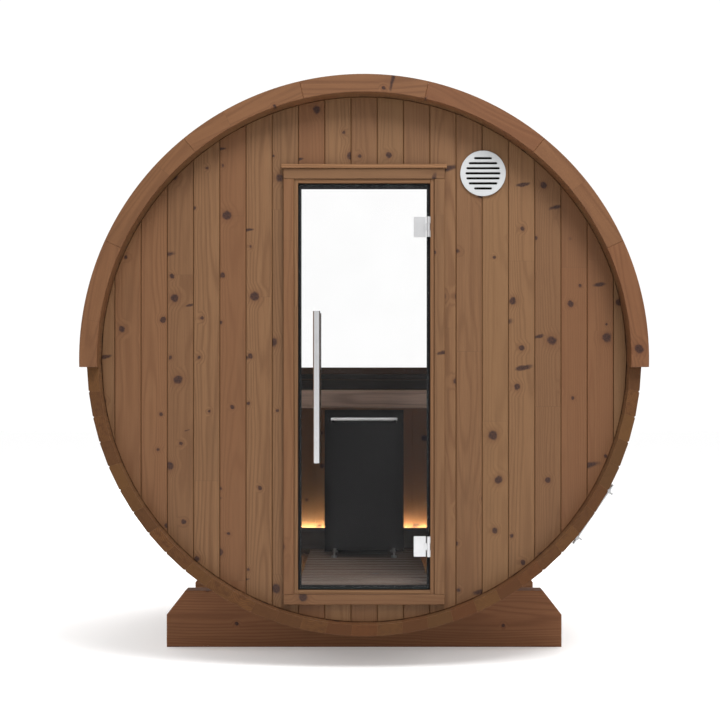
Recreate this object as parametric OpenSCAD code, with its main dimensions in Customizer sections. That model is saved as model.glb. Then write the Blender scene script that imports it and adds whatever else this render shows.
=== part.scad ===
// Barrel sauna cabin: a round cabin of lengthwise staves on two saddle beams,
// with a glass door in the front wall, a half-moon window in the rear wall,
// a bench across the rear end and an electric heater in front of the bench.
//
// Origin: on the ground, under the middle of the barrel. +X right seen from
// the door, +Y towards the rear wall, +Z up. Sizes in millimetres.

/* [Barrel] */
// Height of the barrel's axis above the ground
axis_h = 1155; // [1140:1:1200]
// Radius over the outer corners of the staves
stave_r = 1030; // [1015:1:1045]
// Thickness of a stave
stave_t = 42; // [38:1:45]
// Number of staves round the barrel, an odd number so that one lies lowest
stave_n = 67; // [63:2:71]
// Length of the staves
barrel_l = 1946; // [1900:2:2400]

/* [Roof and arches] */
// Thickness of the roof boards on the upper half of the barrel
roof_t = 20; // [16:1:24]
// Width of the arch boards that close the roof's two ends
arch_w = 66; // [60:1:72]
// Thickness of the arch boards
arch_t = 42; // [30:1:45]
// How far the arch ends reach below the barrel's axis
arch_drop = 30; // [10:1:60]

/* [End walls] */
// Depth from the stave ends to the face of an end wall
wall_recess = 57; // [50:1:90]
// Thickness of the end walls
wall_t = 42; // [38:1:45]
// Height of the window sill board
sill_h = 34; // [30:1:45]
// Width of the round glazing frame of the window
window_frame_w = 20; // [16:1:30]
// Thickness of all panes
glass_t = 8; // [6:1:10]

/* [Door frame] */
// Clear width between the door jambs
door_w = 496; // [460:2:540]
// Clear height between the threshold and the head
door_h = 1526; // [1480:2:1560]
// Height of the threshold above the ground
door_z = 290; // [280:1:310]
// Thickness of the jambs, the head and the threshold
jamb_t = 30; // [26:1:36]
// Width of the front nose of the jambs that stays in sight
nose_w = 15; // [12:1:18]
// How far the nose stands in front of the wall
nose_out = 10; // [9:1:12]
// Width of the casing boards
casing_w = 39; // [34:1:45]
// Thickness of the casing boards
casing_t = 18; // [16:1:20]
// Height of the drip cap over the head casing
cap_h = 15; // [12:1:18]
// How far the drip cap overhangs the casing, to the front and to the sides
cap_over = 8; // [5:1:12]

/* [Door leaf] */
// Gap round the glass leaf
leaf_gap = 7; // [6:1:9]
// Depth of the leaf's front face behind the front of the nose
leaf_inset = 4; // [2:1:5]
// Length of the handle bars
handle_l = 563; // [450:1:600]
// Diameter of the handle bars
handle_d = 27; // [22:1:30]
// Height of the middle of the handle bars above the ground
handle_z = 1051; // [1000:1:1100]
// Distance of the handle from the cabin's middle, towards the left
handle_x = 176; // [160:1:190]
// Distance from the glass to the centre of a handle bar
handle_out = 63; // [50:1:66]
// Height of a hinge
hinge_h = 76; // [70:1:90]
// Height of the middle of the lower hinge above the ground
hinge_z_low = 454; // [420:1:500]
// Height of the middle of the upper hinge
hinge_z_high = 1651; // [1600:1:1680]

/* [Vent] */
// Diameter of the round vent grille
vent_d = 170; // [150:1:180]
// Place of the vent to the right of the middle
vent_x = 446; // [420:1:460]
// Height of the vent above the ground
vent_z = 1853; // [1820:1:1870]

/* [Saddle beams and hoops] */
// Length of a saddle beam
beam_l = 1600; // [1500:10:1700]
// Height of a saddle beam at its ends
beam_h = 228; // [210:1:240]
// Thickness of a saddle beam
beam_t = 95; // [80:1:110]
// Distance of each beam's middle from the middle of the barrel
beam_y = 467; // [400:1:600]
// Distance of each hoop from the middle of the barrel
hoop_y = 840; // [780:1:880]
// Width of the steel hoops
hoop_w = 20; // [16:1:24]

/* [Interior] */
// Height of the duckboard's top above the ground
floor_z = 307; // [305:1:312]
// Width of the duckboard
floor_w = 496; // [440:2:520]
// Height of the bench's top above the duckboard
bench_h = 735; // [650:1:760]
// Depth of the bench, from its front board to the rear wall
bench_d = 640; // [600:1:680]
// Width of the heater's body
heater_w = 294; // [260:2:320]
// Depth of the heater's body
heater_d = 225; // [180:1:240]
// Height of the heater's body
heater_h = 548; // [450:1:560]
// Height of the heater's feet
heater_foot = 42; // [30:1:60]

/* [Hidden] */

$fn = 96;
arc_fn = 240;           // facets of the barrel's large circles
eps = 1;                // overlap that makes a cut run clear of a face

stave_pitch = 360 / stave_n;
stave_last = (stave_n - 1) / 2;
bottom_half = 3;        // staves on each side of the lowest one in the bottom group
side_groups = 4;        // stave groups up each side
side_n = stave_last - bottom_half;
roof_first = stave_last + 1 - round((stave_n + 1) / 4);
wall_r = (stave_r - stave_t) * cos(stave_pitch / 2) - 0.3;
roof_r = stave_r + roof_t;
arch_r_in = roof_r - arch_w;

barrel_y = barrel_l / 2;
front_y = -barrel_y + wall_recess;          // outer face of the front wall
rear_y = barrel_y - wall_recess;            // outer face of the rear wall
front_in_y = front_y + wall_t;
rear_in_y = rear_y - wall_t;

open_x = door_w / 2;
open_top = door_z + door_h;
nose_x = open_x + nose_w;
rough_x = open_x + jamb_t;
rough_low = door_z - jamb_t;
rough_top = open_top + jamb_t;
casing_x = nose_x + casing_w;
casing_low = door_z - nose_w - casing_w;
casing_top = open_top + nose_w + casing_w;
nose_y = front_y - nose_out;
jamb_back_y = front_in_y + 2;               // the jambs stand 2 proud inside

leaf_y = nose_y + leaf_inset;               // front face of the glass leaf
leaf_back_y = leaf_y + glass_t;
leaf_x = open_x - leaf_gap;
leaf_low = door_z + leaf_gap;
leaf_top = open_top - leaf_gap;
seal_gap = 5;                               // play between the leaf and the seal
seal_t = 8;
seal_side = 12.5;
seal_top = 20;
seal_low = 17;

hinge_pin_r = 3;
hinge_play = 0.3;
knuckle_r = 6.5;
knuckle_gap = 1;
hinge_x = leaf_x;                           // the door's axis, in line with the glass edge
hinge_y = leaf_y - 12.5;
leaf_plate_w = 45;
leaf_plate_t = 5;
frame_plate_t = 2;
frame_plate_back = 3;                       // how far the plate runs back past the leaf
frame_arm_front = 3;                        // how far the frame's arm lies ahead of the pin
frame_overlap = 1;                          // bite of the plate and arm into each other
leaf_plate_inset = 10;                      // from the pin to the edge of the leaf's plate
leaf_arm = 15;                              // reach of the leaf's arm from the pin
leaf_arm_front = 2;                         // how far the leaf's arm lies ahead of the pin
post_r = 8;                                 // handle stand-offs
post_in = 60;                               // stand-offs' distance from the bar's ends

vent_slots = [67, 107, 125, 131, 125, 107, 67];
vent_pitch = 18.9;
vent_slot_h = 9;
vent_t = 8;
vent_hole_r = 72;

beam_chamfer_h = 97;
beam_chamfer_w = 75;
hoop_t = 1.5;
lug_angle = -34;                            // place of the tension bolts round the barrel
lug_half = 104;                             // half of the distance between the lugs
lug_t = 8;
lug_low = 1026;                             // foot of a lug, from the barrel's axis
lug_top = 1070;
bolt_r = 5;
bolt_out = 1052;                            // bolt's distance from the barrel's axis
bolt_half = 136;
nut_r = 9;
nut_h = 8;

slat_t = 22;
slat_pitch = 82.2;
slat_w = 70;
floor_slats = 14;
floor_gap = 12;                             // free space between front wall and duckboard
floor_y = front_in_y + floor_gap;
floor_end_y = floor_y + slat_pitch * (floor_slats - 1) + slat_w;
bearer_w = 45;
bearer_x = 190;
bearer_low = 215;
plinth_h = 96;
plinth_t = 22;
bench_top_z = floor_z + bench_h;
bench_y = rear_in_y - bench_d;
bench_board_t = 28;
bench_front_h = 83;
bench_slats = 6;
bench_gap = 12;
bench_reach = 955;                          // half length of the bench, inside the staves
bench_back_gap = 4;                         // free space behind the last slat
bench_slat_w = (bench_d - bench_back_gap - bench_board_t - bench_gap * bench_slats) / bench_slats;
bearer_h = 55;
back_t = 28;
back_low = bench_top_z + 5;
back_gap = 4;
back_board_1 = 47;
back_board_2 = 25;
back_reach = 960;
sill_top = axis_h + 2;                      // top of the sill, where the pane stands
sill_out = 15;
sill_in = 20;
strip_z = 318;
strip_l = 940;
strip_h = 10;
strip_t = 14;
heater_y = -75;
heater_low = floor_z + heater_foot;
heater_wall = 3;
stone_depth = 150;
rail_d = 14;
rail_gap = 8;
shield_w = 360;
shield_t = 3;
shield_h = 645;
shield_gap = 18;                            // air gap between heater and shield
shield_y = heater_y + heater_d + shield_gap;

// Angle of the lower edge of stave k, counted upwards from the lowest stave, 0
function edge_angle(k) = -90 + (k - 0.5) * stave_pitch;
function on_circle(r, a) = [r * cos(a), r * sin(a)];
// First stave of the side group g, 1 being the lowest
function group_start(g) = bottom_half + 1 + floor((g - 1) * side_n / side_groups);

// An upright slice of the barrel: the outline lies round the barrel's axis
module slice(y0, t) {
    translate([0, y0 + t, axis_h])
        rotate([90, 0, 0])
            linear_extrude(t)
                children();
}

// A block given by its low and high corners
module block(low, high) {
    translate(low)
        cube(high - low);
}

// The outline of the end walls within a window of x and height
module wall_outline(x0, x1, z0, z1) {
    intersection() {
        circle(wall_r, $fn = arc_fn);
        translate([x0, z0 - axis_h])
            square([x1 - x0, z1 - z0]);
    }
}

// Lengthwise boards with flat faces, from stave number first to last
module board_ring(first, last, r_in, r_out) {
    outer = [for (k = [first : last + 1]) on_circle(r_out, edge_angle(k))];
    inner = [for (k = [last + 1 : -1 : first]) on_circle(r_in, edge_angle(k))];
    slice(-barrel_y, barrel_l)
        polygon(concat(outer, inner));
}

module staves(first, last) {
    color("#8a6547")
        board_ring(first, last, stave_r - stave_t, stave_r);
}

module side_staves(g) {
    staves(group_start(g), group_start(g + 1) - 1);
}

module roof_boards() {
    color("#80603f")
        board_ring(roof_first, stave_last, stave_r, roof_r);
}

module arch(y0) {
    color("#8c694e")
        slice(y0, arch_t)
            difference() {
                circle(roof_r, $fn = arc_fn);
                circle(arch_r_in, $fn = arc_fn);
                translate([-2 * roof_r, -2 * roof_r - arch_drop])
                    square([4 * roof_r, 2 * roof_r]);
            }
}

module front_wall(x0, x1, z0, z1) {
    color("#8b684b")
        slice(front_y, wall_t)
            wall_outline(x0, x1, z0, z1);
}

module front_wall_right() {
    difference() {
        front_wall(rough_x, stave_r, 0, 2 * axis_h);
        translate([vent_x, front_y - eps, vent_z])
            rotate([-90, 0, 0])
                cylinder(h = wall_t + 2 * eps, r = vent_hole_r);
    }
}

module rear_wall() {
    color("#7d5c42")
        slice(rear_in_y, wall_t)
            wall_outline(-stave_r, stave_r, 0, sill_top - sill_h);
}

module window_sill() {
    color("#70503a")
        slice(rear_in_y - sill_in, wall_t + sill_in + sill_out)
            wall_outline(-stave_r, stave_r, sill_top - sill_h, sill_top);
}

// The pane's outline is a half-moon that stands in a groove of the frame
module pane_outline() {
    intersection() {
        circle(wall_r - window_frame_w / 2, $fn = arc_fn);
        translate([-stave_r, sill_top - axis_h])
            square([2 * stave_r, stave_r]);
    }
}

module window_frame() {
    recess = 4;
    frame_t = wall_t - 2 * recess;
    color("#7a5a40")
        difference() {
            slice(rear_in_y + recess, frame_t)
                difference() {
                    wall_outline(-stave_r, stave_r, sill_top, 2 * axis_h);
                    circle(wall_r - window_frame_w, $fn = arc_fn);
                }
            slice(rear_in_y + wall_t / 2 - glass_t / 2, glass_t)
                pane_outline();
        }
}

module window_glass() {
    color("#cfdcdc", 0.3)
        slice(rear_in_y + wall_t / 2 - glass_t / 2, glass_t)
            pane_outline();
}

// One jamb: its nose stands in front of the wall beside the leaf
module jamb() {
    block([open_x, front_y, rough_low], [rough_x, jamb_back_y, rough_top]);
    block([open_x, nose_y, door_z - nose_w], [nose_x, front_y, open_top + nose_w]);
}

module door_jambs() {
    color("#86633f") {
        jamb();
        mirror([1, 0, 0])
            jamb();
    }
}

module door_head() {
    color("#86633f") {
        block([-open_x, front_y, open_top], [open_x, jamb_back_y, rough_top]);
        block([-open_x, nose_y, open_top], [open_x, front_y, open_top + nose_w]);
    }
}

module door_threshold() {
    color("#86633f") {
        block([-open_x, front_y, rough_low], [open_x, jamb_back_y, door_z]);
        block([-open_x, nose_y, door_z - nose_w], [open_x, front_y, door_z]);
    }
}

module door_seal() {
    y0 = leaf_back_y + seal_gap;
    color("#2b2a2a")
        difference() {
            block([-open_x, y0, door_z], [open_x, y0 + seal_t, open_top]);
            block([seal_side - open_x, y0 - eps, door_z + seal_low],
                  [open_x - seal_side, y0 + seal_t + eps, open_top - seal_top]);
        }
}

module casing_side() {
    block([nose_x, front_y - casing_t, door_z - nose_w], [casing_x, front_y, open_top + nose_w]);
}

module casing_sides() {
    color("#8f6c50") {
        casing_side();
        mirror([1, 0, 0])
            casing_side();
    }
}

module casing_head() {
    color("#8f6c50")
        block([-casing_x, front_y - casing_t, open_top + nose_w], [casing_x, front_y, casing_top]);
}

module casing_foot() {
    color("#8f6c50")
        block([-casing_x, front_y - casing_t, casing_low], [casing_x, front_y, door_z - nose_w]);
}

module drip_cap() {
    color("#9b795a")
        block([-casing_x - cap_over, front_y - casing_t - cap_over, casing_top],
              [casing_x + cap_over, front_y, casing_top + cap_h]);
}

module door_glass() {
    color("#d5e0e0", 0.3)
        block([-leaf_x, leaf_y, leaf_low], [leaf_x, leaf_back_y, leaf_top]);
}

// A handle bar on two stand-offs; side is -1 in front of the glass, 1 behind it
module handle(side) {
    face_y = side < 0 ? leaf_y : leaf_back_y;
    bar_y = face_y + side * handle_out;
    color("#9c7350") {
        translate([-handle_x, bar_y, handle_z - handle_l / 2])
            cylinder(h = handle_l, r = handle_d / 2);
        for (z = [handle_z - handle_l / 2 + post_in, handle_z + handle_l / 2 - post_in])
            translate([-handle_x, min(face_y, bar_y), z])
                rotate([-90, 0, 0])
                    cylinder(h = handle_out, r = post_r);
    }
}

// A hinge knuckle and its arm, as tall as z0 to z1 beside the hinge's axis
module knuckle(z0, z1, arm_low, arm_high) {
    translate([hinge_x, hinge_y, z0])
        cylinder(h = z1 - z0, r = knuckle_r);
    block([arm_low[0], arm_low[1], z0], [arm_high[0], arm_high[1], z1]);
}

// The leaf's half of a hinge: a plate on the glass and the middle knuckle
module door_hinge_leaf(z_mid) {
    third = hinge_h / 3;
    difference() {
        union() {
            block([hinge_x - leaf_plate_inset - leaf_plate_w, leaf_y - leaf_plate_t, z_mid - hinge_h / 2],
                  [hinge_x - leaf_plate_inset, leaf_y, z_mid + hinge_h / 2]);
            knuckle(z_mid - third / 2, z_mid + third / 2,
                    [hinge_x - leaf_arm, hinge_y - leaf_arm_front], [hinge_x, leaf_y - leaf_plate_t]);
        }
        translate([hinge_x, hinge_y, z_mid - hinge_h])
            cylinder(h = 2 * hinge_h, r = hinge_pin_r + hinge_play);
    }
}

module door_hinge_leaves() {
    color("#c9cbcc")
        for (z = [hinge_z_low, hinge_z_high])
            door_hinge_leaf(z);
}

// The frame's half of a hinge: a plate on the jamb, two knuckles and the pin
module frame_hinge_leaf(z_mid) {
    half = hinge_h / 2;
    inner = hinge_h / 6 + knuckle_gap;
    for (side = [-1, 1])
        knuckle(z_mid + (side < 0 ? -half : inner), z_mid + (side < 0 ? -inner : half),
                [hinge_x, hinge_y - frame_arm_front], [open_x, nose_y + frame_overlap]);
    block([open_x - frame_plate_t, nose_y - frame_overlap, z_mid - half],
          [open_x, leaf_back_y + frame_plate_back, z_mid + half]);
    translate([hinge_x, hinge_y, z_mid - half])
        cylinder(h = hinge_h, r = hinge_pin_r);
}

module frame_hinge_leaves() {
    color("#c9cbcc")
        for (z = [hinge_z_low, hinge_z_high])
            frame_hinge_leaf(z);
}

module slot_outline(length, height) {
    square([length - height, height], center = true);
    for (side = [-1, 1])
        translate([side * (length - height) / 2, 0])
            circle(height / 2);
}

module vent_grille() {
    middle = (len(vent_slots) - 1) / 2;
    color("#d4d7d9")
        translate([vent_x, front_y, vent_z])
            rotate([90, 0, 0])
                linear_extrude(vent_t)
                    difference() {
                        circle(vent_d / 2);
                        for (i = [0 : len(vent_slots) - 1])
                            translate([0, (i - middle) * vent_pitch])
                                slot_outline(vent_slots[i], vent_slot_h);
                    }
}

// A beam whose top is cut to the barrel's curve
module saddle_beam(y_mid) {
    half = beam_l / 2;
    shoulder = beam_h - beam_chamfer_h;
    color("#6e4832")
        slice(y_mid - beam_t / 2, beam_t)
            difference() {
                translate([0, -axis_h])
                    polygon([[-half, 0], [half, 0], [half, shoulder], [half - beam_chamfer_w, beam_h],
                             [beam_chamfer_w - half, beam_h], [-half, shoulder]]);
                circle(stave_r, $fn = arc_fn);
            }
}

// A frame at the tension bolt: x points outwards, z along the hoop
module at_lugs(y) {
    translate([0, y, axis_h])
        rotate([0, -lug_angle, 0])
            children();
}

// The band runs round the lower half between the two roof edges, open at the bolt
module hoop(y) {
    roof_edge = edge_angle(roof_first);
    gap = asin(lug_half / stave_r);
    slice(y - hoop_w / 2, hoop_w)
        difference() {
            circle(stave_r + hoop_t, $fn = arc_fn);
            circle(stave_r, $fn = arc_fn);
            polygon([[0, 0], 3 * on_circle(stave_r, 180 - roof_edge), [0, 9 * stave_r],
                     3 * on_circle(stave_r, roof_edge)]);
            polygon([[0, 0], 2 * on_circle(stave_r, lug_angle - gap), 2 * on_circle(stave_r, lug_angle + gap)]);
        }
    at_lugs(y)
        for (side = [-1, 1])
            difference() {
                translate([lug_low, -hoop_w / 2, side * lug_half - lug_t / 2])
                    cube([lug_top - lug_low, hoop_w, lug_t]);
                translate([bolt_out, 0, side * lug_half - lug_t])
                    cylinder(h = 2 * lug_t, r = bolt_r + 0.5);
            }
}

module hoops() {
    color("#c4c6c8")
        for (side = [-1, 1])
            hoop(side * hoop_y);
}

module hoop_bolt(y) {
    nut_at = lug_half + lug_t / 2;
    at_lugs(y)
        translate([bolt_out, 0, 0]) {
            translate([0, 0, -bolt_half])
                cylinder(h = 2 * bolt_half, r = bolt_r);
            for (z = [nut_at, -nut_at - nut_h])
                translate([0, 0, z])
                    cylinder(h = nut_h, r = nut_r, $fn = 6);
        }
}

module hoop_bolts() {
    color("#b9bcbf")
        for (side = [-1, 1])
            hoop_bolt(side * hoop_y);
}

module duckboard() {
    color("#6b4d38") {
        for (i = [0 : floor_slats - 1])
            block([-floor_w / 2, floor_y + i * slat_pitch, floor_z - slat_t],
                  [floor_w / 2, floor_y + i * slat_pitch + slat_w, floor_z]);
        for (side = [-1, 1])
            block([side * bearer_x - bearer_w / 2, floor_y, bearer_low],
                  [side * bearer_x + bearer_w / 2, floor_end_y, floor_z - slat_t]);
    }
}

module plinth() {
    color("#4a3427")
        slice(floor_end_y, plinth_t)
            wall_outline(-stave_r, stave_r, floor_z, floor_z + plinth_h);
}

module bench_seat() {
    y0 = bench_y + bench_board_t + bench_gap;
    pitch = bench_slat_w + bench_gap;
    color("#6f5140")
        for (i = [0 : bench_slats - 1])
            block([-bench_reach, y0 + i * pitch, bench_top_z - bench_board_t],
                  [bench_reach, y0 + i * pitch + bench_slat_w, bench_top_z]);
}

module bench_front_board() {
    color("#7c6656")
        block([-bench_reach, bench_y, bench_top_z - bench_front_h],
              [bench_reach, bench_y + bench_board_t, bench_top_z]);
}

// Two bearers at the ends of the bench and two between them carry the slats
module bench_bearers() {
    top = bench_top_z - bench_board_t;
    color("#5c4231")
        for (x = [-900, -320, 320, 900])
            block([x - bearer_w / 2, bench_y + bench_board_t, top - bearer_h],
                  [x + bearer_w / 2, rear_in_y, top]);
}

module backrest() {
    color("#4f382a") {
        block([-back_reach, rear_in_y - back_t, back_low],
              [back_reach, rear_in_y, back_low + back_board_1]);
        block([-back_reach, rear_in_y - back_t, back_low + back_board_1 + back_gap],
              [back_reach, rear_in_y, back_low + back_board_1 + back_gap + back_board_2]);
    }
}

module light_strip() {
    color("#ffd9a0")
        block([-strip_l / 2, rear_in_y - strip_t, strip_z],
              [strip_l / 2, rear_in_y, strip_z + strip_h]);
}

module heat_shield() {
    color("#1d1c1c")
        block([-shield_w / 2, shield_y, floor_z], [shield_w / 2, shield_y + shield_t, floor_z + shield_h]);
}

// An open-topped steel case for the stones, with a guard rail along its front
module heater_body() {
    x = heater_w / 2;
    top = heater_low + heater_h;
    rail_z = top + rail_gap + rail_d / 2;
    post_inset = 12;
    post_w = 8;
    color("#171717")
        difference() {
            block([-x, heater_y, heater_low], [x, heater_y + heater_d, top]);
            block([heater_wall - x, heater_y + heater_wall, top - stone_depth],
                  [x - heater_wall, heater_y + heater_d - heater_wall, top + eps]);
        }
    color("#b8babc") {
        translate([-x, heater_y + rail_d / 2, rail_z])
            rotate([0, 90, 0])
                cylinder(h = heater_w, r = rail_d / 2);
        for (side = [-1, 1])
            block([side * (x - post_inset) - post_w / 2, heater_y, top - stone_depth / 2],
                  [side * (x - post_inset) + post_w / 2, heater_y + heater_wall, rail_z]);
    }
}

module heater_feet() {
    inset = 16;
    disc_h = 8;
    disc_r = 12;
    stem_r = 5;
    color("#8d8f91")
        for (x = [inset - heater_w / 2, heater_w / 2 - inset], y = [inset, heater_d - inset])
            translate([x, heater_y + y, floor_z]) {
                cylinder(h = disc_h, r = disc_r);
                cylinder(h = heater_foot, r = stem_r);
            }
}

staves(-bottom_half, bottom_half);  // staves_bottom
side_staves(1);  // staves_right_1
side_staves(2);  // staves_right_2
side_staves(3);  // staves_right_3
side_staves(4);  // staves_right_4
mirror([1, 0, 0]) side_staves(1);  // staves_left_1
mirror([1, 0, 0]) side_staves(2);  // staves_left_2
mirror([1, 0, 0]) side_staves(3);  // staves_left_3
mirror([1, 0, 0]) side_staves(4);  // staves_left_4
roof_boards();  // roof_boards_right
mirror([1, 0, 0]) roof_boards();  // roof_boards_left
arch(-barrel_y - arch_t);  // front_arch
arch(barrel_y);  // rear_arch
front_wall(-stave_r, -rough_x, 0, 2 * axis_h);  // front_wall_left
front_wall_right();
front_wall(-rough_x, rough_x, rough_top, 2 * axis_h);  // front_wall_over_door
front_wall(-rough_x, rough_x, 0, rough_low);  // front_wall_under_door
rear_wall();
window_sill();
window_frame();
window_glass();
door_jambs();
door_head();
door_threshold();
door_seal();
casing_sides();
casing_head();
casing_foot();
drip_cap();
door_glass();
handle(-1);  // handle_outside
handle(1);  // handle_inside
door_hinge_leaves();
frame_hinge_leaves();
vent_grille();
saddle_beam(-beam_y);  // beam_front
saddle_beam(beam_y);  // beam_rear
hoops();
hoop_bolts();
duckboard();
plinth();
bench_seat();
bench_front_board();
bench_bearers();
backrest();
light_strip();
heat_shield();
heater_body();
heater_feet();
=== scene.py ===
"""Looks of a barrel-shaped sauna cabin: boards, frame timber, glass, steel and heater, with stage and light."""

import math
import random

import bmesh
import bpy
from mathutils import Matrix, Vector


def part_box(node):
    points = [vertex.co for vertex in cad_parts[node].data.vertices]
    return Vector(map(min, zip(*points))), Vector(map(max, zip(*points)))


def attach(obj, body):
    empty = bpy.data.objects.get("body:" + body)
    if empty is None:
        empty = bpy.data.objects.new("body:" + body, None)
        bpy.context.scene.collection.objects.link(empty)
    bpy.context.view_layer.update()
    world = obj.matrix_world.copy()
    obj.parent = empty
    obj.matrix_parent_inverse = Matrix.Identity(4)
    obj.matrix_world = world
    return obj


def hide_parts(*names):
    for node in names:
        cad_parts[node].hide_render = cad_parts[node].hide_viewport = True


bl_info = {
    "name": "Barrel sauna cabin",
    "version": (1, 0, 0),
    "blender": (4, 5, 0),
    "location": "3D View > Sidebar > Cabin",
    "description": "Makes the boards, fittings and stage of a barrel sauna cabin",
    "category": "Object",
}

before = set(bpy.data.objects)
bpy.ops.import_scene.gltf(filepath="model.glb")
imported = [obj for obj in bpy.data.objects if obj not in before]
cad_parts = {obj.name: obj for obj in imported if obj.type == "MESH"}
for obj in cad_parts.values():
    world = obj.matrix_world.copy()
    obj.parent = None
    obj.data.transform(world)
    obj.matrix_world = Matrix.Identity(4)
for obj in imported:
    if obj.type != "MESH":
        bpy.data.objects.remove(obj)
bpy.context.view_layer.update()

X = Vector((1, 0, 0))
Y = Vector((0, 1, 0))
Z = Vector((0, 0, 1))

# The barrel's measures, taken from the frame.
ARCH_LO, ARCH_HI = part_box("front_arch")
REAR_ARCH_LO, REAR_ARCH_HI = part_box("rear_arch")
WALL_LO, WALL_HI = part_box("front_wall_left")
REAR_LO, REAR_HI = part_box("rear_wall")
DOOR_OPEN_LO, DOOR_OPEN_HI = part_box("door_seal")
AXIS_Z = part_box("staves_bottom")[0].z + 1.03 * math.cos(math.pi / 67)
ROOF_R = ARCH_HI.z - AXIS_Z
STAVE_R = ROOF_R - 0.02
ARCH_INNER_R = ROOF_R - 0.066
WALL_R = -WALL_LO.x
STAVES = 67
PITCH = 2 * math.pi / STAVES


# --------------------------------------------------------------------------
# Settings
# --------------------------------------------------------------------------


class CabinSizes(bpy.types.PropertyGroup):
    """Widths, gaps and edges of the boards"""

    wall_board: bpy.props.FloatProperty(
        name="Wall board width", description="Cover width of one wall board",
        default=0.0986, unit="LENGTH",
    )
    wall_bevel: bpy.props.FloatProperty(
        name="Wall board edge", description="Eased edge of a wall board",
        default=0.0024, unit="LENGTH",
    )
    stave_bevel: bpy.props.FloatProperty(
        name="Stave edge", description="Eased outer edge of a stave",
        default=0.0045, unit="LENGTH",
    )
    board_gap: bpy.props.FloatProperty(
        name="Joint", description="Open joint between two boards",
        default=0.0013, unit="LENGTH",
    )
    arch_bevel: bpy.props.FloatProperty(
        name="Arch edge", description="Chamfer round each arch segment",
        default=0.0016, unit="LENGTH",
    )
    trim_bevel: bpy.props.FloatProperty(
        name="Trim edge", description="Eased edge of casings, frame and benches",
        default=0.0022, unit="LENGTH",
    )


def colour(name, text, value):
    return bpy.props.FloatVectorProperty(
        name=name, description=text, default=value, subtype="COLOR", size=3, min=0, max=1
    )


class CabinColours(bpy.types.PropertyGroup):
    """Base colours of the finishes, in linear light"""

    wall: colour("Wall", "Vertical boards of the end walls", (0.149, 0.0755, 0.034))
    stave: colour("Staves", "Staves of the barrel", (0.13, 0.062, 0.027))
    stave_end: colour("Stave ends", "Sawn ends of the staves", (0.088, 0.036, 0.0095))
    roof: colour("Roof", "Cover boards of the upper half", (0.1, 0.048, 0.022))
    arch: colour("Arch", "Curved end frames", (0.134, 0.059, 0.0245))
    casing: colour("Casing", "Boards round the door", (0.144, 0.072, 0.032))
    jamb: colour("Door frame", "Jambs, head and threshold", (0.155, 0.08, 0.036))
    beam: colour("Beams", "Support beams", (0.175, 0.078, 0.033))
    bench: colour("Interior", "Benches and duckboard", (0.15, 0.112, 0.09))
    # Painted shade: the dark boards' colour stands in for the shade on the backrest and plinth.
    dark: colour("Dark boards", "Backrest and plinth", (0.055, 0.042, 0.036))
    steel: colour("Steel", "Stainless parts", (0.72, 0.72, 0.73))
    vent: colour("Vent", "Vent cover", (0.42, 0.43, 0.435))
    light: colour("Light", "Warm light strip", (1.0, 0.84, 0.55))


# --------------------------------------------------------------------------
# Shader building
# --------------------------------------------------------------------------


class Value:
    """A float socket with Python arithmetic; each step adds one Math node."""

    def __init__(self, tree, socket):
        self.tree = tree
        self.socket = socket

    def math(self, operation, *others, clamp=False):
        node = self.tree.nodes.new("ShaderNodeMath")
        node.operation = operation
        node.use_clamp = clamp
        for index, item in enumerate(others):
            feed(self.tree, node.inputs[index], item)
        return Value(self.tree, node.outputs[0])

    def __add__(self, other):
        return self.math("ADD", self, other)

    def __radd__(self, other):
        return self.math("ADD", other, self)

    def __sub__(self, other):
        return self.math("SUBTRACT", self, other)

    def __rsub__(self, other):
        return self.math("SUBTRACT", other, self)

    def __mul__(self, other):
        return self.math("MULTIPLY", self, other)

    def __rmul__(self, other):
        return self.math("MULTIPLY", other, self)

    def __truediv__(self, other):
        return self.math("DIVIDE", self, other)

    def __gt__(self, other):
        return self.math("GREATER_THAN", self, other)

    def sin(self):
        return self.math("SINE", self)

    def power(self, other):
        return self.math("POWER", self, other)

    def span(self, low, high):
        """0 at low, 1 at high, smooth between."""
        node = self.tree.nodes.new("ShaderNodeMapRange")
        node.interpolation_type = "SMOOTHSTEP"
        feed(self.tree, node.inputs["Value"], self)
        node.inputs["From Min"].default_value = low
        node.inputs["From Max"].default_value = high
        return Value(self.tree, node.outputs["Result"])


def feed(tree, socket, item):
    """Links a Value or socket, or sets a constant."""
    if isinstance(item, Value):
        item = item.socket
    if isinstance(item, bpy.types.NodeSocket):
        tree.links.new(item, socket)
    else:
        socket.default_value = item


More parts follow.
